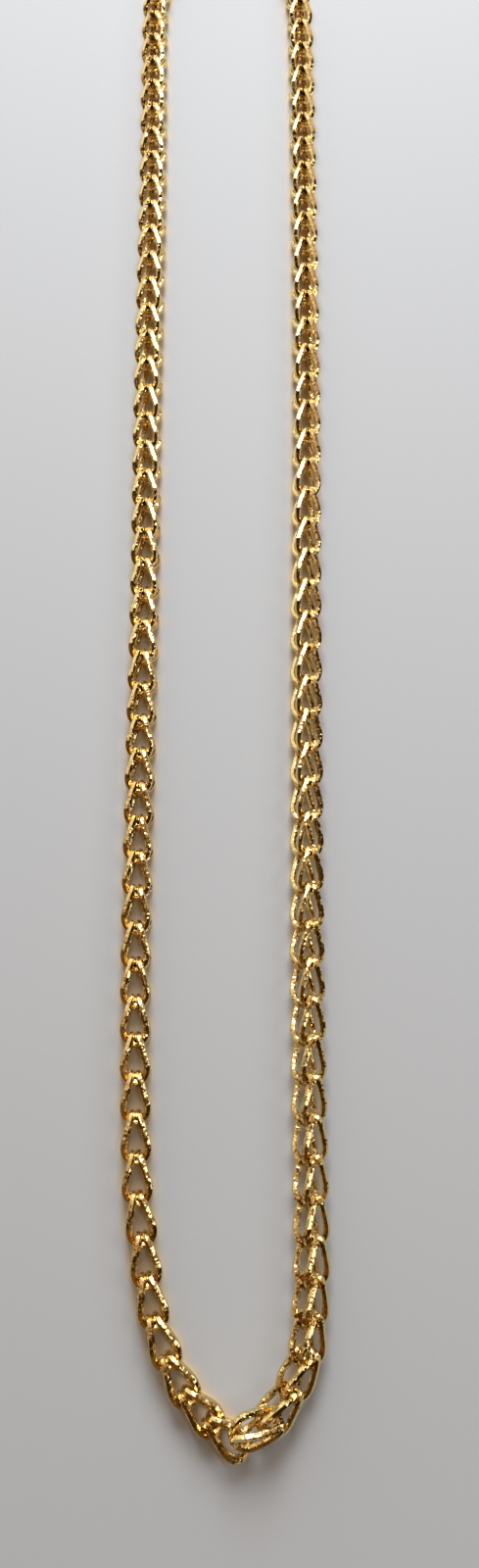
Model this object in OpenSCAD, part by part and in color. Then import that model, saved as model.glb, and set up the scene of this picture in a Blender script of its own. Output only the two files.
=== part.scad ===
// Neck chain of folded wire links, lying in a long narrow loop on a flat surface.
// Lengths in millimetres, angles in degrees. Z is up from the surface, Y runs along the two strands.

/* [Link] */
// Outer width of one lobe of a link
lobe_w = 3.4; // [3:0.05:3.8]
// Wire thickness as a share of the lobe width
wire_share = 0.175; // [0.14:0.005:0.18]
// Distance between the pins of two taut links as a share of the lobe width
pitch_share = 1.3125; // [1.25:0.005:1.33]
// How far a link's pin lies beyond its fold, as a share of the lobe width
pin_share = 0.245; // [0.2:0.005:0.3]
// Sides of the wire
wire_sides = 5; // [5:1:6]

/* [Halves] */
// Links of the left half that follow its route; the joint adds three
left_links = 47; // [20:1:60]
// Links of the right half that follow its route; the joint adds three
right_links = 46; // [20:1:60]
// Steps between two points of a route
route_steps = 12; // [6:1:24]

/* [Clasp] */
// Thickness of the barrel
barrel_d = 3.0; // [2.4:0.1:3.4]
// Width of the collar at each end of the barrel
collar_l = 0.9; // [0.5:0.1:1.5]
// How much the collar stands out of the barrel
collar_h = 0.15; // [0.05:0.05:0.3]
// Depth of the seam round the barrel's middle
seam_h = 0.15; // [0.05:0.05:0.3]
// Radius of an eye, to the middle of its wire
eye_r = 1.7; // [1.6:0.05:2]
// Thickness of an eye's wire
eye_d = 0.7; // [0.5:0.05:0.8]
// Thickness of the neck between barrel and eye
neck_d = 1.0; // [0.7:0.1:1.4]

/* [Place] */
// Middle of the whole necklace from the foot of the loop, across and along
middle_x = 0.1199;
middle_y = 106.7769;

/* [Hidden] */
wire_d = wire_share * lobe_w;
pitch = pitch_share * lobe_w;
pin = pin_share * lobe_w;
arc_fn = 32;

// Quarter of a link's outline in shares of the lobe width: along the chain, to the side, to the front
quarter = [
    [0.019, 0.105, 0.324],
    [0.598, 0.262, 0.374],
    [1.222, 0.436, 0.259],
    [1.549, 0.247, 0.109],
];

// Routes from the clasp down to the joint: across, along, roll of the links, slack as a share of the pitch
left_route = [
    [-6.6, 211.5, -4, 0.95],
    [-10.0, 204.5, -5, 0.95],
    [-10.95, 196.0, -7, 0.975],
    [-10.67, 163.0, -11, 0.975],
    [-10.66, 130.0, -10, 0.975],
    [-10.45, 100.0, -5, 0.975],
    [-10.52, 74.0, -2, 0.975],
    [-10.45, 50.0, 2, 0.975],
    [-9.8, 28.0, 5, 0.985],
    [-8.95, 21.03, 6, 0.97],
    [-8.35, 16.72, 7, 0.96],
    [-7.40, 12.46, 7, 0.96],
    [-5.72, 8.43, 7, 0.95],
];
right_route = [
    [6.8, 211.5, 0, 0.96],
    [10.1, 204.5, 5, 0.96],
    [11.1, 196.0, 6, 0.99],
    [11.2, 163.0, 6, 0.99],
    [11.08, 130.0, 8, 0.99],
    [10.58, 100.0, 14, 1],
    [10.23, 74.0, 20, 1],
    [9.93, 50.0, 28, 1],
    [9.9, 28.0, 35, 0.98],
    [9.93, 20.88, 37, 0.95],
    [9.84, 16.42, 38, 0.90],
    [9.57, 12.63, 38, 0.86],
    [9.18, 9.10, 37, 0.82],
];

// Links at the joint: across, along, lift off the surface, heading, roll, rise of the round end
left_end = [
    [-5.72, 8.43, 0, -58.22, 7, 0],
    [-3.66, 5.11, 0.01, -44.17, 7.42, 0.38],
    [-0.94, 2.53, 0.01, -38.48, 6.61, 0.39],
];
right_end = [
    [9.18, 9.10, 0.15, -118.08, 37, 2],
    [7.27, 5.52, 0.34, -128.72, 34.45, 1.93],
    [5.34, 3.09, 1.33, -159.38, 52.69, 3.61],
];

function unit(v) = v / norm(v);

// Whole outline of a link about its pin: front lobe, then back lobe
function outline() = let (
        q = quarter,
        front_right = [for (p = q) [p[0], p[1], p[2]]],
        front_left = [for (i = [len(q) - 1 : -1 : 0]) [q[i][0], -q[i][1], q[i][2]]],
        back_left = [for (p = q) [p[0], -p[1], -p[2]]],
        back_right = [for (i = [len(q) - 1 : -1 : 0]) [q[i][0], q[i][1], -q[i][2]]]
    )
    [for (p = concat(front_right, front_left, back_left, back_right)) p * lobe_w - [pin, 0, 0]];

function tangent(p, i) = unit(p[(i + 1) % len(p)] - p[(i + len(p) - 1) % len(p)]);
function mirrored(v, across) = v - 2 * (v * across) / (across * across) * across;

// Side direction of the wire carried from one outline point to the next without twist
function carried(r, p, i) = let (
        j = (i + 1) % len(p),
        step = p[j] - p[i],
        moved = mirrored(r, step),
        turned = mirrored(tangent(p, i), step),
        change = tangent(p, j) - turned
    )
    norm(change) > 0.0001 ? mirrored(moved, change) : moved;
function sides(p, i, r) = i <= len(p) ? concat([r], sides(p, i + 1, carried(r, p, i % len(p)))) : [];

wire_path = outline();
first_side = unit(cross(tangent(wire_path, 0), [1, 0, 0]));
wire_sides_list = sides(wire_path, 0, first_side);
last_side = wire_sides_list[len(wire_path)];
closing_twist = atan2(
    last_side * cross(tangent(wire_path, 0), first_side),
    last_side * first_side
);

// Corners of the wire's surface, ring by ring
wire_points = [
    for (i = [0 : len(wire_path) - 1])
        let (a = wire_sides_list[i], b = cross(tangent(wire_path, i), a))
            for (k = [0 : wire_sides - 1])
                let (turn = 360 * k / wire_sides - closing_twist * i / len(wire_path))
                    wire_path[i] + wire_d / 2 * (cos(turn) * a + sin(turn) * b)
];
wire_faces = [
    for (i = [0 : len(wire_path) - 1])
        let (j = (i + 1) % len(wire_path))
            for (k = [0 : wire_sides - 1])
                let (m = (k + 1) % wire_sides)
                    each [
                        [i * wire_sides + k, j * wire_sides + m, i * wire_sides + m],
                        [i * wire_sides + k, j * wire_sides + k, j * wire_sides + m],
                    ]
];

// Directions of a link: along it, to its side, to its front
function link_axes(heading, roll, rise) = let (
        t = [cos(heading) * cos(rise), sin(heading) * cos(rise), sin(rise)],
        flat = [-sin(heading), cos(heading), 0],
        up = cross(t, flat)
    )
    [t, cos(roll) * flat - sin(roll) * up, sin(roll) * flat + cos(roll) * up];

// Height of the pin at which the lowest wire touches the surface
function rest_height(axes) =
    wire_d / 2 - min([for (p = wire_path) p[0] * axes[0][2] + p[1] * axes[1][2] + p[2] * axes[2][2]]);

// Curved route through the table's points
function spline(a, b, c, d, u) =
    0.5 * (2 * b + (c - a) * u + (2 * a - 5 * b + 4 * c - d) * u * u + (3 * b - a - 3 * c + d) * u * u * u);
function route(table) = let (
        n = len(table),
        ends = concat([2 * table[0] - table[1]], table, [2 * table[n - 1] - table[n - 2]])
    )
    concat(
        [
            for (i = [1 : n - 1])
                for (j = [0 : route_steps - 1])
                    spline(ends[i - 1], ends[i], ends[i + 1], ends[i + 2], j / route_steps)
        ],
        [table[n - 1]]
    );
function run_lengths(r, i = 0, s = 0) =
    i < len(r)
    ? concat(
        [s],
        run_lengths(r, i + 1, i < len(r) - 1 ? s + norm([r[i + 1][0] - r[i][0], r[i + 1][1] - r[i][1]]) : s)
    )
    : [];

// Places of the pins along the route, counted back from the joint
function pins_back(slack, s, count) =
    count > 0 ? concat([s], pins_back(slack, s - pitch * lookup(s, slack), count - 1)) : [s];

// Rows as in the joint's tables for the links that follow the route, first link first
function route_rows(table, links) = let (
        r = route(table),
        s = run_lengths(r),
        col = [for (c = [0 : 3]) [for (i = [0 : len(r) - 1]) [s[i], r[i][c]]]],
        back = pins_back(col[3], s[len(s) - 1], links),
        at = [for (i = [len(back) - 1 : -1 : 0]) [for (c = [0 : 2]) lookup(back[i], col[c])]]
    )
    [
        for (i = [0 : len(at) - 2])
            [
                at[i][0], at[i][1], 0,
                atan2(at[i + 1][1] - at[i][1], at[i + 1][0] - at[i][0]),
                (at[i][2] + at[i + 1][2]) / 2, 0
            ]
    ];

left_rows = concat(route_rows(left_route, left_links), left_end);
right_rows = concat(route_rows(right_route, right_links), right_end);

module link(row) {
    axes = link_axes(row[3], row[4], row[5]);
    spot = [row[0] - middle_x, row[1] - middle_y, row[2] + rest_height(axes)];
    multmatrix([
        [axes[0][0], axes[1][0], axes[2][0], spot[0]],
        [axes[0][1], axes[1][1], axes[2][1], spot[1]],
        [axes[0][2], axes[1][2], axes[2][2], spot[2]],
        [0, 0, 0, 1]
    ])
        polyhedron(points = wire_points, faces = wire_faces, convexity = 6);
}

// Left half: every link passes through the two lobes of the link before it
module left_chain() {
    color([0.83, 0.62, 0.28])
        for (row = left_rows)
            link(row);
}

// Right half; its last link holds the last link of the left half
module right_chain() {
    color([0.83, 0.62, 0.28])
        for (row = right_rows)
            link(row);
}

// Middle of the eye that passes through a first link's fold
function eye_place(row) = [
    row[0] - middle_x - eye_r * cos(row[3]),
    row[1] - middle_y - eye_r * sin(row[3]),
    rest_height(link_axes(row[3], row[4], row[5]))
];
left_eye = eye_place(left_rows[0]);
right_eye = eye_place(right_rows[0]);
clasp_span = norm(right_eye - left_eye);
clasp_turn = atan2(right_eye[1] - left_eye[1], right_eye[0] - left_eye[0]);
neck_l = eye_r + eye_d / 2 + 0.35;
barrel_half = clasp_span / 2 - neck_l;

module eye() {
    rotate_extrude($fn = arc_fn)
        translate([eye_r, 0])
            circle(d = eye_d, $fn = arc_fn / 2);
}

// Barrel with a collar at each end and a seam round its middle, an eye on a neck at each end
module clasp() {
    color([0.83, 0.62, 0.28])
        translate((left_eye + right_eye) / 2)
            rotate([0, 0, clasp_turn]) {
                union() {
                    rotate([0, 90, 0])
                        rotate_extrude($fn = arc_fn)
                            polygon([
                                [0, -barrel_half],
                                [barrel_d / 2 - 0.25, -barrel_half],
                                [barrel_d / 2, -barrel_half + 0.25],
                                [barrel_d / 2, -barrel_half + collar_l],
                                [barrel_d / 2 - collar_h, -barrel_half + collar_l + collar_h],
                                [barrel_d / 2 - collar_h, -2 * seam_h],
                                [barrel_d / 2 - collar_h - seam_h, -seam_h / 2],
                                [barrel_d / 2 - collar_h - seam_h, seam_h / 2],
                                [barrel_d / 2 - collar_h, 2 * seam_h],
                                [barrel_d / 2 - collar_h, barrel_half - collar_l - collar_h],
                                [barrel_d / 2, barrel_half - collar_l],
                                [barrel_d / 2, barrel_half - 0.25],
                                [barrel_d / 2 - 0.25, barrel_half],
                                [0, barrel_half],
                            ]);
                    for (side = [-1, 1]) {
                        translate([side * clasp_span / 2, 0, 0])
                            eye();
                        translate([side * (barrel_half - 0.2), 0, 0])
                            rotate([0, side * 90, 0])
                                cylinder(d = neck_d, h = neck_l - eye_r + 0.2, $fn = arc_fn);
                    }
                }
            }
}

left_chain();
right_chain();
clasp();
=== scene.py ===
import math

import bpy
import numpy as np
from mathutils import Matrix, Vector


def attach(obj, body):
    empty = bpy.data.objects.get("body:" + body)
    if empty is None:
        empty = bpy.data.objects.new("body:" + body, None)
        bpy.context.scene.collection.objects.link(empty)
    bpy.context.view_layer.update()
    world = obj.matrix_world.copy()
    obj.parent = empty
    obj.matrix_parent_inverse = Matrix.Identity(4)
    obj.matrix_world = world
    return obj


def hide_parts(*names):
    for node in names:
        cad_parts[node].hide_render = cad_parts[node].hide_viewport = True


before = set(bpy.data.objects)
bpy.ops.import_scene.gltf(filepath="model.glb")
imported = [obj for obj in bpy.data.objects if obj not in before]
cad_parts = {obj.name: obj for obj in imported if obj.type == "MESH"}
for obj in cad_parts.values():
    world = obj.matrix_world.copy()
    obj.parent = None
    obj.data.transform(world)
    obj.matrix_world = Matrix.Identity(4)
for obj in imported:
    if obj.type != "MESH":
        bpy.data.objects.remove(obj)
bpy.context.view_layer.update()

# Sizes in metres, places measured from the foot of the loop
MM = 0.001
LOBE_WIDTH = 3.4 * MM
WIRE_RADIUS = 0.4 * MM
SOLID_RADIUS = 0.3 * MM
PITCH = 1.3125 * LOBE_WIDTH
PIN_FROM_FOLD = 0.245 * LOBE_WIDTH
MIDDLE = (0.1199 * MM, 106.7769 * MM)
LEFT_ROUTE_LINKS = 47
RIGHT_ROUTE_LINKS = 46

# How finely curves and wire are cut, and the squared change of direction that counts as none
STEPS_ALONG_WIRE = 112
STEPS_ROUND_WIRE = 14
STEPS_ON_SPLINE = 12
STRAIGHT_ENOUGH = 1e-12

# Each link's own stretch of the wire map, in millimetres, and the numbers that the halves' links start from
LINK_SPACING = 100
LEFT_FIRST_NUMBER = 0
RIGHT_FIRST_NUMBER = 60

# Gold in the open, and a darker, deeper gold painted where surfaces close in, as painted shade
OPEN_GOLD = (0.83, 0.64, 0.29, 1)
PAINTED_SHADE_GOLD = (0.82, 0.55, 0.19, 1)
PAINTED_SHADE_REACH = 1.2 * MM

# Cuts and bumps on the wire, lengths in millimetres, and each column's shift from the one beside it
CUTS = {
    "Cut length": 0.8,
    "Cuts round": 6.0,
    "Flatness": 0.85,
    "Tilt": 1.6,
    "Difference": 0.15,
    "Bump length": 0.3,
    "Bump tilt": 0.55,
}
CUT_STAGGER = 0.37

# Floor: its half width in metres, its colours, and how bare it is where the painted warm light from the
# gold starts and ends
FLOOR_REACH = 1.5
FLOOR_COLOUR = (0.57, 0.612, 0.662, 1)
PAINTED_GOLD_LIGHT_COLOUR = (0.9, 0.71, 0.4, 1)
PAINTED_GOLD_LIGHT_REACH = 1.4 * MM
PAINTED_GOLD_LIGHT_FROM = 0.25
PAINTED_GOLD_LIGHT_TO = 0.95

# Room: the ways to its window side and its back, where the light of each starts and ends, and its colours
WINDOW_SIDE = dict(way=(-0.35, 0.85, 0.25), start=0.25, end=0.9)
BACK_SIDE = dict(way=(-0.3, -1, 0.1), start=0.4, end=0.9)
BACK_SHARE = 0.14
ROOM_DARK = 0.02
ROOM_BRIGHT = 1.12
ROOM_DARK_COLOUR = (1.0, 0.46, 0.09, 1)
ROOM_PALE_COLOUR = (1.0, 0.96, 0.88, 1)
BACKDROP_COLOUR = (0.6, 0.6, 0.6, 1)

# Soft lights in metres and watts, and the camera over the foot of the loop, in millimetres and degrees
WINDOW = dict(place=(0, 0.27, 0.27), aim=(0, 0.02, 0), power=1.27, width=0.17, height=0.23)
LAMP = dict(place=(0.35, -0.05, 0.35), aim=(0, 0, 0), power=0.4, width=0.24, height=0.24)
CAMERA_PLACE = (1.9, 36.5, 136.7)
CAMERA_TILT = 15.47
CAMERA_LENS = 25.875
CAMERA_SENSOR = 36
CAMERA_NEAR = 10 * MM

# Half of a link's front lobe in shares of the lobe width, from the fold to the round end
LOBE_CURVE = [
    dict(along=0.000, side=0.110, front=0.000),
    dict(along=0.000, side=0.110, front=0.170),
    dict(along=0.050, side=0.122, front=0.281),
    dict(along=0.170, side=0.155, front=0.340),
    dict(along=0.380, side=0.225, front=0.355),
    dict(along=0.710, side=0.320, front=0.345),
    dict(along=0.925, side=0.385, front=0.325),
    dict(along=1.160, side=0.410, front=0.280),
    dict(along=1.383, side=0.347, front=0.184),
    dict(along=1.514, side=0.201, front=0.115),
    dict(along=1.557, side=0.000, front=0.104),
]

# Routes of the two halves from the clasp down to the joint, in millimetres; slack is a share of the pitch
LEFT_ROUTE = [
    dict(x=-6.6, y=211.5, roll=-4, slack=0.95),
    dict(x=-10.0, y=204.5, roll=-5, slack=0.95),
    dict(x=-10.95, y=196.0, roll=-7, slack=0.975),
    dict(x=-10.67, y=163.0, roll=-11, slack=0.975),
    dict(x=-10.66, y=130.0, roll=-10, slack=0.975),
    dict(x=-10.45, y=100.0, roll=-5, slack=0.975),
    dict(x=-10.52, y=74.0, roll=-2, slack=0.975),
    dict(x=-10.45, y=50.0, roll=2, slack=0.975),
    dict(x=-9.8, y=28.0, roll=5, slack=0.985),
    dict(x=-8.95, y=21.03, roll=6, slack=0.97),
    dict(x=-8.35, y=16.72, roll=7, slack=0.96),
    dict(x=-7.40, y=12.46, roll=7, slack=0.96),
    dict(x=-5.72, y=8.43, roll=7, slack=0.95),
]
RIGHT_ROUTE = [
    dict(x=6.8, y=211.5, roll=0, slack=0.96),
    dict(x=10.1, y=204.5, roll=5, slack=0.96),
    dict(x=11.1, y=196.0, roll=6, slack=0.99),
    dict(x=11.2, y=163.0, roll=6, slack=0.99),
    dict(x=11.08, y=130.0, roll=8, slack=0.99),
    dict(x=10.58, y=100.0, roll=14, slack=1),
    dict(x=10.23, y=74.0, roll=20, slack=1),
    dict(x=9.93, y=50.0, roll=28, slack=1),
    dict(x=9.9, y=28.0, roll=35, slack=0.98),
    dict(x=9.93, y=20.88, roll=37, slack=0.95),
    dict(x=9.84, y=16.42, roll=38, slack=0.90),
    dict(x=9.57, y=12.63, roll=38, slack=0.86),
    dict(x=9.18, y=9.10, roll=37, slack=0.82),
]

# The three links of each half at the joint, where the last left link passes through the last right one
LEFT_JOINT = [
    dict(x=-5.72, y=8.43, lift=0, heading=-58.22, roll=7, rise=0),
    dict(x=-3.66, y=5.11, lift=0.01, heading=-44.17, roll=7.42, rise=0.38),
    dict(x=-0.94, y=2.53, lift=0.01, heading=-38.48, roll=6.61, rise=0.39),
]
RIGHT_JOINT = [
    dict(x=9.18, y=9.10, lift=0.15, heading=-118.08, roll=37, rise=2),
    dict(x=7.27, y=5.52, lift=0.34, heading=-128.72, roll=34.45, rise=1.93),
    dict(x=5.34, y=3.09, lift=1.33, heading=-159.38, roll=52.69, rise=3.61),
]


def spline(a, b, c, d, u):
    """Point between b and c on the curve through a, b, c and d."""
    return 0.5 * (
        2 * b + (c - a) * u + (2 * a - 5 * b + 4 * c - d) * u**2 + (3 * b - a - 3 * c + d) * u**3
    )


def whole_link(rows):
    """Outline of a folded link about its pin, mirrored from half of its front lobe."""
    quarter = [(r["along"], r["side"], r["front"]) for r in rows]
    points = quarter + [(t, -s, n) for t, s, n in quarter[::-1][1:]]
    points += [(t, -s, -n) for t, s, n in quarter[1:]]
    points += [(t, s, -n) for t, s, n in quarter[::-1][1:-1]]
    return np.array(points) * LOBE_WIDTH - np.array([PIN_FROM_FOLD, 0, 0])


def even_closed_curve(points, count):
    """Smooth closed curve through the points, cut into even steps; also its length."""
    n = len(points)
    fine = []
    for i in range(n):
        a, b, c, d = (points[(i + k) % n] for k in (-1, 0, 1, 2))
        fine += [spline(a, b, c, d, j / STEPS_ON_SPLINE) for j in range(STEPS_ON_SPLINE)]
    fine = np.array(fine + fine[:1])
    runs = np.concatenate([[0], np.cumsum(np.linalg.norm(np.diff(fine, axis=0), axis=1))])
    wanted = np.linspace(0, runs[-1], count, endpoint=False)
    return np.stack([np.interp(wanted, runs, fine[:, k]) for k in range(3)], 1), runs[-1]


def wire_directions(path):
    """Two directions across the wire at each point, carried round the closed path without a jump."""
    tangents = np.roll(path, -1, axis=0) - np.roll(path, 1, axis=0)
    tangents /= np.linalg.norm(tangents, axis=1)[:, None]
    side = np.cross(tangents[0], [1.0, 0, 0])
    sides = [side / np.linalg.norm(side)]
    for i in range(len(path)):
        j = (i + 1) % len(path)
        step = path[j] - path[i]
        carried = sides[-1] - 2 * (step @ sides[-1]) / (step @ step) * step
        turned = tangents[i] - 2 * (step @ tangents[i]) / (step @ step) * step
        change = tangents[j] - turned
        if change @ change > STRAIGHT_ENOUGH:
            carried = carried - 2 * (change @ carried) / (change @ change) * change
        sides.append(carried)
    twist = math.atan2(sides[-1] @ np.cross(tangents[0], sides[0]), sides[-1] @ sides[0])
    first, second = [], []
    for i in range(len(path)):
        turn = -twist * i / len(path)
        other = np.cross(tangents[i], sides[i])
        first.append(math.cos(turn) * sides[i] + math.sin(turn) * other)
        second.append(math.cos(turn) * other - math.sin(turn) * sides[i])
    return np.array(first), np.array(second)


def link_axes(heading, roll, rise):
    """Directions of a link: along it, to its side and to its front."""
    h, r, q = (math.radians(a) for a in (heading, roll, rise))
    along = np.array([math.cos(h) * math.cos(q), math.sin(h) * math.cos(q), math.sin(q)])
    flat = np.array([-math.sin(h), math.cos(h), 0])
    up = np.cross(along, flat)
    side = math.cos(r) * flat - math.sin(r) * up
    front = math.sin(r) * flat + math.cos(r) * up
    return np.stack([along, side, front])


def route_rows(table, links):
    """Places of the links that follow a route, first link first."""
    rows = np.array([[r["x"], r["y"], r["roll"], r["slack"]] for r in table], float)
    ends = np.vstack([2 * rows[0] - rows[1], rows, 2 * rows[-1] - rows[-2]])
    fine = [
        spline(ends[i - 1], ends[i], ends[i + 1], ends[i + 2], j / STEPS_ON_SPLINE)
        for i in range(1, len(rows))
        for j in range(STEPS_ON_SPLINE)
    ]
    fine = np.array(fine + [rows[-1]])
    runs = np.concatenate([[0], np.cumsum(np.hypot(*np.diff(fine[:, :2], axis=0).T))])
    spots = [runs[-1]]
    for _ in range(links):
        slack = np.interp(spots[-1], runs, fine[:, 3])
        spots.append(spots[-1] - PITCH / MM * slack)
    at = [[np.interp(s, runs, fine[:, k]) for k in range(3)] for s in reversed(spots)]
    return [
        dict(
            x=a[0],
            y=a[1],
            lift=0,
            heading=math.degrees(math.atan2(b[1] - a[1], b[0] - a[0])),
            roll=(a[2] + b[2]) / 2,
            rise=0,
        )
        for a, b in zip(at[:-1], at[1:])
    ]


def chain_half(name, rows, first_number):
    """One half of the chain as closed wire links; its wire map holds millimetres along and turns round."""
    outline, wire_length = even_closed_curve(whole_link(LOBE_CURVE), STEPS_ALONG_WIRE)
    across, upward = wire_directions(outline)
    turn = 2 * math.pi * np.arange(STEPS_ROUND_WIRE) / STEPS_ROUND_WIRE
    rings = (
        outline[:, None]
        + WIRE_RADIUS * np.cos(turn)[None, :, None] * across[:, None]
        + WIRE_RADIUS * np.sin(turn)[None, :, None] * upward[:, None]
    )
    skin = rings.reshape(-1, 3)
    verts, faces, wire_map = [], [], []
    for number, row in enumerate(rows):
        axes = link_axes(row["heading"], row["roll"], row["rise"])
        height = max(WIRE_RADIUS, SOLID_RADIUS + row["lift"] * MM) - (outline @ axes)[:, 2].min()
        place = np.array([row["x"] * MM - MIDDLE[0], row["y"] * MM - MIDDLE[1], height])
        base = number * len(skin)
        verts.append(skin @ axes + place)
        for i in range(STEPS_ALONG_WIRE):
            j = (i + 1) % STEPS_ALONG_WIRE
            start = (number + first_number) * LINK_SPACING + i * wire_length / MM / STEPS_ALONG_WIRE
            end = (number + first_number) * LINK_SPACING + (i + 1) * wire_length / MM / STEPS_ALONG_WIRE
            for k in range(STEPS_ROUND_WIRE):
                m = (k + 1) % STEPS_ROUND_WIRE
                low, high = k / STEPS_ROUND_WIRE, (k + 1) / STEPS_ROUND_WIRE
                faces.append([
                    base + i * STEPS_ROUND_WIRE + k,
                    base + i * STEPS_ROUND_WIRE + m,
                    base + j * STEPS_ROUND_WIRE + m,
                    base + j * STEPS_ROUND_WIRE + k,
                ])
                wire_map += [start, low, start, high, end, high, end, low]
    mesh = bpy.data.meshes.new(name)
    mesh.from_pydata(np.vstack(verts).tolist(), [], faces)
    mesh.uv_layers.new(name="wire").data.foreach_set("uv", wire_map)
    mesh.shade_smooth()
    piece = bpy.data.objects.new(name, mesh)
    bpy.context.scene.collection.objects.link(piece)
    return piece


def add(tree, kind, place, **settings):
    """New node of a kind at a place in the node editor, with its settings."""
    node = tree.nodes.new(kind)
    node.location = place
    for key, value in settings.items():
        setattr(node, key, value)
    return node


def math_node(tree, operation, place, a, b=None):
    """Math node fed by sockets or plain numbers."""
    node = add(tree, "ShaderNodeMath", place, operation=operation)
    for socket, value in zip(node.inputs, (a, b)):
        if value is None:
            continue
        if isinstance(value, bpy.types.NodeSocket):
            tree.links.new(value, socket)
        else:
            socket.default_value = value
    return node.outputs[0]


def vector_node(tree, operation, place, a, b=None, scale=None):
    """Vector math node fed by sockets."""
    node = add(tree, "ShaderNodeVectorMath", place, operation=operation)
    tree.links.new(a, node.inputs[0])
    if b is not None:
        tree.links.new(b, node.inputs[1])
    if scale is not None:
        tree.links.new(scale, node.inputs["Scale"])
    return node.outputs[0]


def cut_facets_group():
    """Flat cuts, alike on every link but for a small difference, and fine bumps, as a bent normal."""
    group = bpy.data.node_groups.new("Cut facets", "ShaderNodeTree")
    group.interface.new_socket("Along", in_out="INPUT", socket_type="NodeSocketFloat")
    group.interface.new_socket("Round", in_out="INPUT", socket_type="NodeSocketFloat")
    group.interface.new_socket("Tangent", in_out="INPUT", socket_type="NodeSocketVector")
    for name, default in CUTS.items():
        socket = group.interface.new_socket(name, in_out="INPUT", socket_type="NodeSocketFloat")
        socket.default_value = default
    group.interface.new_socket("Normal", in_out="OUTPUT", socket_type="NodeSocketVector")
    given = add(group, "NodeGroupInput", (-1500, 0))
    result = add(group, "NodeGroupOutput", (1100, 0))
    turns = math_node(group, "MULTIPLY", (-1300, -100), given.outputs["Round"], given.outputs["Cuts round"])
    column = math_node(group, "FLOOR", (-1140, -60), turns)
    on_column = math_node(group, "FRACT", (-1140, -200), turns)
    off_column = math_node(group, "SUBTRACT", (-980, -160), on_column, 0.5)
    on_link = math_node(group, "MODULO", (-1300, 200), given.outputs["Along"], LINK_SPACING)
    links = math_node(group, "DIVIDE", (-1300, 340), given.outputs["Along"], LINK_SPACING)
    link = math_node(group, "FLOOR", (-1140, 300), links)
    lengths = math_node(group, "DIVIDE", (-1140, 120), on_link, given.outputs["Cut length"])
    stagger = math_node(group, "MULTIPLY", (-980, 0), column, CUT_STAGGER)
    rows = math_node(group, "ADD", (-820, 120), lengths, stagger)
    row = math_node(group, "FLOOR", (-660, 120), rows)
    cell = add(group, "ShaderNodeCombineXYZ", (-500, 60))
    group.links.new(row, cell.inputs["X"])
    group.links.new(column, cell.inputs["Y"])
    shared = add(group, "ShaderNodeTexWhiteNoise", (-340, 60), noise_dimensions="2D")
    group.links.new(cell.outputs[0], shared.inputs["Vector"])
    own = add(group, "ShaderNodeTexWhiteNoise", (-340, 260), noise_dimensions="4D")
    group.links.new(cell.outputs[0], own.inputs["Vector"])
    group.links.new(link, own.inputs["W"])
    drawn = add(group, "ShaderNodeMix", (-180, 120), data_type="VECTOR")
    group.links.new(given.outputs["Difference"], drawn.inputs["Factor"])
    group.links.new(shared.outputs["Color"], drawn.inputs["A"])
    group.links.new(own.outputs["Color"], drawn.inputs["B"])
    draws = add(group, "ShaderNodeSeparateXYZ", (-20, 60))
    group.links.new(drawn.outputs["Result"], draws.inputs[0])
    bump_place = add(group, "ShaderNodeCombineXYZ", (-500, -320))
    bump_length = given.outputs["Bump length"]
    bumps_along = math_node(group, "DIVIDE", (-660, -320), given.outputs["Along"], bump_length)
    group.links.new(bumps_along, bump_place.inputs["X"])
    group.links.new(turns, bump_place.inputs["Y"])
    bumps = add(group, "ShaderNodeTexNoise", (-340, -320), noise_dimensions="2D")
    bumps.inputs["Scale"].default_value = 1
    bumps.inputs["Detail"].default_value = 1
    group.links.new(bump_place.outputs[0], bumps.inputs["Vector"])
    bump_draws = add(group, "ShaderNodeSeparateColor", (-180, -320))
    group.links.new(bumps.outputs["Color"], bump_draws.inputs[0])
    share_of_turn = math_node(group, "DIVIDE", (-980, -520), 2 * math.pi, given.outputs["Cuts round"])
    flatten = math_node(group, "MULTIPLY", (-820, -520), share_of_turn, given.outputs["Flatness"])
    to_flat = math_node(group, "MULTIPLY", (-660, -520), off_column, flatten)
    parts = []
    for draw, height in ((0, 120), (1, -60)):
        cut_draw = math_node(group, "SUBTRACT", (140, height), draws.outputs[draw], 0.5)
        size = math_node(group, "ABSOLUTE", (170, height), cut_draw)
        spread = math_node(group, "MULTIPLY", (200, height), cut_draw, size)
        cut = math_node(group, "MULTIPLY", (300, height), spread, given.outputs["Tilt"])
        bump_draw = math_node(group, "SUBTRACT", (140, height - 400), bump_draws.outputs[draw], 0.5)
        small = math_node(group, "MULTIPLY", (300, height - 400), bump_draw, given.outputs["Bump tilt"])
        parts.append(math_node(group, "ADD", (460, height), cut, small))
    sideways = math_node(group, "ADD", (620, 120), parts[0], to_flat)
    surface = add(group, "ShaderNodeNewGeometry", (300, 400))
    normal = surface.outputs["Normal"]
    tangent = given.outputs["Tangent"]
    across = vector_node(group, "CROSS_PRODUCT", (460, 340), normal, tangent)
    side_part = vector_node(group, "SCALE", (760, 200), across, scale=sideways)
    long_part = vector_node(group, "SCALE", (760, 40), tangent, scale=parts[1])
    bend = vector_node(group, "ADD", (840, 120), side_part, long_part)
    bent = vector_node(group, "ADD", (920, 60), normal, bend)
    group.links.new(vector_node(group, "NORMALIZE", (1000, 0), bent), result.inputs["Normal"])
    return group


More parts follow.
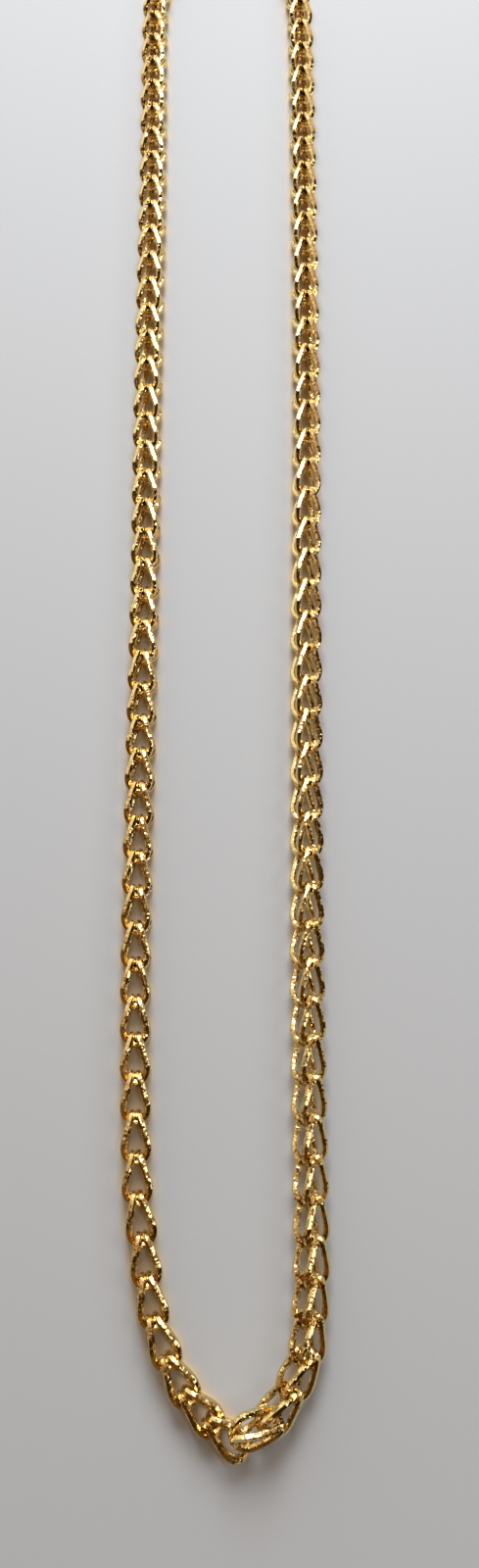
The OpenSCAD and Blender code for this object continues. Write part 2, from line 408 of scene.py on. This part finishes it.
def painted_recess_shade_group():
    """Colour of the metal, passing into a darker, deeper gold where surfaces close in on each other:
    painted shade in the recesses.
    """
    group = bpy.data.node_groups.new("Painted recess shade", "ShaderNodeTree")
    for name, default in (("Open colour", OPEN_GOLD), ("Painted shade colour", PAINTED_SHADE_GOLD)):
        socket = group.interface.new_socket(name, in_out="INPUT", socket_type="NodeSocketColor")
        socket.default_value = default
    group.interface.new_socket("Colour", in_out="OUTPUT", socket_type="NodeSocketColor")
    given = add(group, "NodeGroupInput", (-600, 0))
    result = add(group, "NodeGroupOutput", (400, 0))
    # Painted shade: the gold turns darker and deeper where surfaces close in
    openness = add(group, "ShaderNodeAmbientOcclusion", (-400, 120), samples=8)
    openness.inputs["Distance"].default_value = PAINTED_SHADE_REACH
    shade = math_node(group, "SUBTRACT", (-200, 120), 1.0, openness.outputs["AO"])
    mixed = add(group, "ShaderNodeMix", (180, 0), data_type="RGBA", clamp_factor=True)
    group.links.new(shade, mixed.inputs["Factor"])
    group.links.new(given.outputs["Open colour"], mixed.inputs["A"])
    group.links.new(given.outputs["Painted shade colour"], mixed.inputs["B"])
    group.links.new(mixed.outputs["Result"], result.inputs["Colour"])
    return group


def polished_gold(name, roughness, tone):
    """Warm gold whose tone follows how open the metal lies, with painted shade where it lies in recesses.
    """
    material = bpy.data.materials.new(name)
    material.use_nodes = True
    tree = material.node_tree
    gold = tree.nodes["Principled BSDF"]
    gold.inputs["Metallic"].default_value = 1
    gold.inputs["Roughness"].default_value = roughness
    colour = add(tree, "ShaderNodeGroup", (-450, 150), node_tree=tone)
    colour.inputs["Open colour"].default_value = OPEN_GOLD
    colour.inputs["Painted shade colour"].default_value = PAINTED_SHADE_GOLD
    tree.links.new(colour.outputs["Colour"], gold.inputs["Base Color"])
    return material


def chain_gold(facets, tone):
    """Polished gold wire with small cut facets."""
    material = polished_gold("chain gold", roughness=0.14, tone=tone)
    tree = material.node_tree
    wire_map = add(tree, "ShaderNodeUVMap", (-1100, 0), uv_map="wire")
    parts = add(tree, "ShaderNodeSeparateXYZ", (-920, 0))
    tree.links.new(wire_map.outputs[0], parts.inputs[0])
    run = add(tree, "ShaderNodeTangent", (-920, -300), direction_type="UV_MAP", uv_map="wire")
    cut = add(tree, "ShaderNodeGroup", (-700, -200), node_tree=facets)
    for name, value in CUTS.items():
        cut.inputs[name].default_value = value
    tree.links.new(run.outputs[0], cut.inputs["Tangent"])
    tree.links.new(parts.outputs["X"], cut.inputs["Along"])
    tree.links.new(parts.outputs["Y"], cut.inputs["Round"])
    tree.links.new(cut.outputs["Normal"], tree.nodes["Principled BSDF"].inputs["Normal"])
    return material


def clasp_gold(tone):
    """Plain polished gold of the clasp."""
    return polished_gold("clasp gold", roughness=0.15, tone=tone)


def pale_floor():
    """Pale surface that the necklace lies on, with the light the gold throws on it painted as a warm tint
    near the chain.
    """
    mesh = bpy.data.meshes.new("floor")
    corners = [(x * FLOOR_REACH, y * FLOOR_REACH, 0) for x, y in ((-1, -1), (1, -1), (1, 1), (-1, 1))]
    mesh.from_pydata(corners, [], [(0, 1, 2, 3)])
    floor = bpy.data.objects.new("floor", mesh)
    bpy.context.scene.collection.objects.link(floor)
    material = bpy.data.materials.new("pale surface")
    material.use_nodes = True
    tree = material.node_tree
    surface = tree.nodes["Principled BSDF"]
    # Painted reflected light: a warm gold-coloured tint on the floor where the chain closes in over it
    openness = add(tree, "ShaderNodeAmbientOcclusion", (-700, 0), samples=4)
    openness.inputs["Distance"].default_value = PAINTED_GOLD_LIGHT_REACH
    bareness = add(tree, "ShaderNodeMapRange", (-500, 0))
    bareness.inputs["From Min"].default_value = PAINTED_GOLD_LIGHT_FROM
    bareness.inputs["From Max"].default_value = PAINTED_GOLD_LIGHT_TO
    tree.links.new(openness.outputs["AO"], bareness.inputs["Value"])
    colour = add(tree, "ShaderNodeMix", (-300, 0), data_type="RGBA")
    colour.inputs["A"].default_value = PAINTED_GOLD_LIGHT_COLOUR
    colour.inputs["B"].default_value = FLOOR_COLOUR
    tree.links.new(bareness.outputs[0], colour.inputs["Factor"])
    tree.links.new(colour.outputs["Result"], surface.inputs["Base Color"])
    surface.inputs["Roughness"].default_value = 0.8
    mesh.materials.append(material)
    return floor


def soft_light(name, place, aim, power, width, height):
    """Rectangular soft light aimed at a point."""
    data = bpy.data.lights.new(name, "AREA")
    data.shape = "RECTANGLE"
    data.size = width
    data.size_y = height
    data.energy = power
    light = bpy.data.objects.new(name, data)
    light.location = place
    light.rotation_euler = (Vector(aim) - Vector(place)).to_track_quat("-Z", "Y").to_euler()
    light.visible_camera = False
    bpy.context.scene.collection.objects.link(light)


def room_light():
    """Dim brown room, paler and brighter toward its window side and a little toward its back."""
    world = bpy.data.worlds.new("dim room")
    world.use_nodes = True
    tree = world.node_tree
    background = tree.nodes["Background"]
    place = add(tree, "ShaderNodeTexCoord", (-1300, 0))
    shares = []
    for side, height in ((WINDOW_SIDE, 200), (BACK_SIDE, -100)):
        nearness = add(tree, "ShaderNodeVectorMath", (-1100, height), operation="DOT_PRODUCT")
        tree.links.new(place.outputs["Generated"], nearness.inputs[0])
        nearness.inputs[1].default_value = Vector(side["way"]).normalized()
        share = add(tree, "ShaderNodeMapRange", (-920, height))
        share.inputs["From Min"].default_value = side["start"]
        share.inputs["From Max"].default_value = side["end"]
        tree.links.new(nearness.outputs["Value"], share.inputs["Value"])
        shares.append(share.outputs[0])
    back = math_node(tree, "MULTIPLY", (-740, -100), shares[1], BACK_SHARE)
    share = math_node(tree, "MAXIMUM", (-560, 100), shares[0], back)
    strength = add(tree, "ShaderNodeMapRange", (-380, 200))
    strength.inputs["To Min"].default_value = ROOM_DARK
    strength.inputs["To Max"].default_value = ROOM_BRIGHT
    tree.links.new(share, strength.inputs["Value"])
    tree.links.new(strength.outputs[0], background.inputs["Strength"])
    colour = add(tree, "ShaderNodeMix", (-380, -100), data_type="RGBA")
    colour.inputs["A"].default_value = ROOM_DARK_COLOUR
    colour.inputs["B"].default_value = ROOM_PALE_COLOUR
    tree.links.new(share, colour.inputs["Factor"])
    tree.links.new(colour.outputs["Result"], background.inputs["Color"])
    backdrop = add(tree, "ShaderNodeBackground", (-120, -200))
    backdrop.inputs["Color"].default_value = BACKDROP_COLOUR
    looked_at = add(tree, "ShaderNodeLightPath", (-120, 300))
    seen = add(tree, "ShaderNodeMixShader", (100, 0))
    tree.links.new(looked_at.outputs["Is Camera Ray"], seen.inputs[0])
    tree.links.new(background.outputs[0], seen.inputs[1])
    tree.links.new(backdrop.outputs[0], seen.inputs[2])
    tree.links.new(seen.outputs[0], tree.nodes["World Output"].inputs["Surface"])
    return world


# Chain
facets = cut_facets_group()
tone = painted_recess_shade_group()
gold_wire = chain_gold(facets, tone)
left_rows = route_rows(LEFT_ROUTE, LEFT_ROUTE_LINKS) + LEFT_JOINT
right_rows = route_rows(RIGHT_ROUTE, RIGHT_ROUTE_LINKS) + RIGHT_JOINT
for node, piece_name, rows, first_number in (
    ("left_chain", "left_links", left_rows, LEFT_FIRST_NUMBER),
    ("right_chain", "right_links", right_rows, RIGHT_FIRST_NUMBER),
):
    half = chain_half(piece_name, rows, first_number)
    half.data.materials.append(gold_wire)
    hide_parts(node)
    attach(half, "root")

# Clasp
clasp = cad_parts["clasp"]
gold_clasp = clasp_gold(tone)
for material_slot in clasp.material_slots:
    material_slot.material = gold_clasp

# Floor, lights and camera
floor = pale_floor()
soft_light("window", **WINDOW)
soft_light("lamp", **LAMP)
bpy.context.scene.world = room_light()
bpy.context.scene.view_settings.view_transform = "Standard"

lens = bpy.data.cameras.new("camera")
lens.lens = CAMERA_LENS
lens.sensor_width = CAMERA_SENSOR
lens.clip_start = CAMERA_NEAR
camera = bpy.data.objects.new("camera", lens)
camera_x, camera_y, camera_z = CAMERA_PLACE
camera.location = (camera_x * MM - MIDDLE[0], camera_y * MM - MIDDLE[1], camera_z * MM)
camera.rotation_euler = (math.radians(CAMERA_TILT), 0, 0)
bpy.context.scene.collection.objects.link(camera)
bpy.context.scene.camera = camera
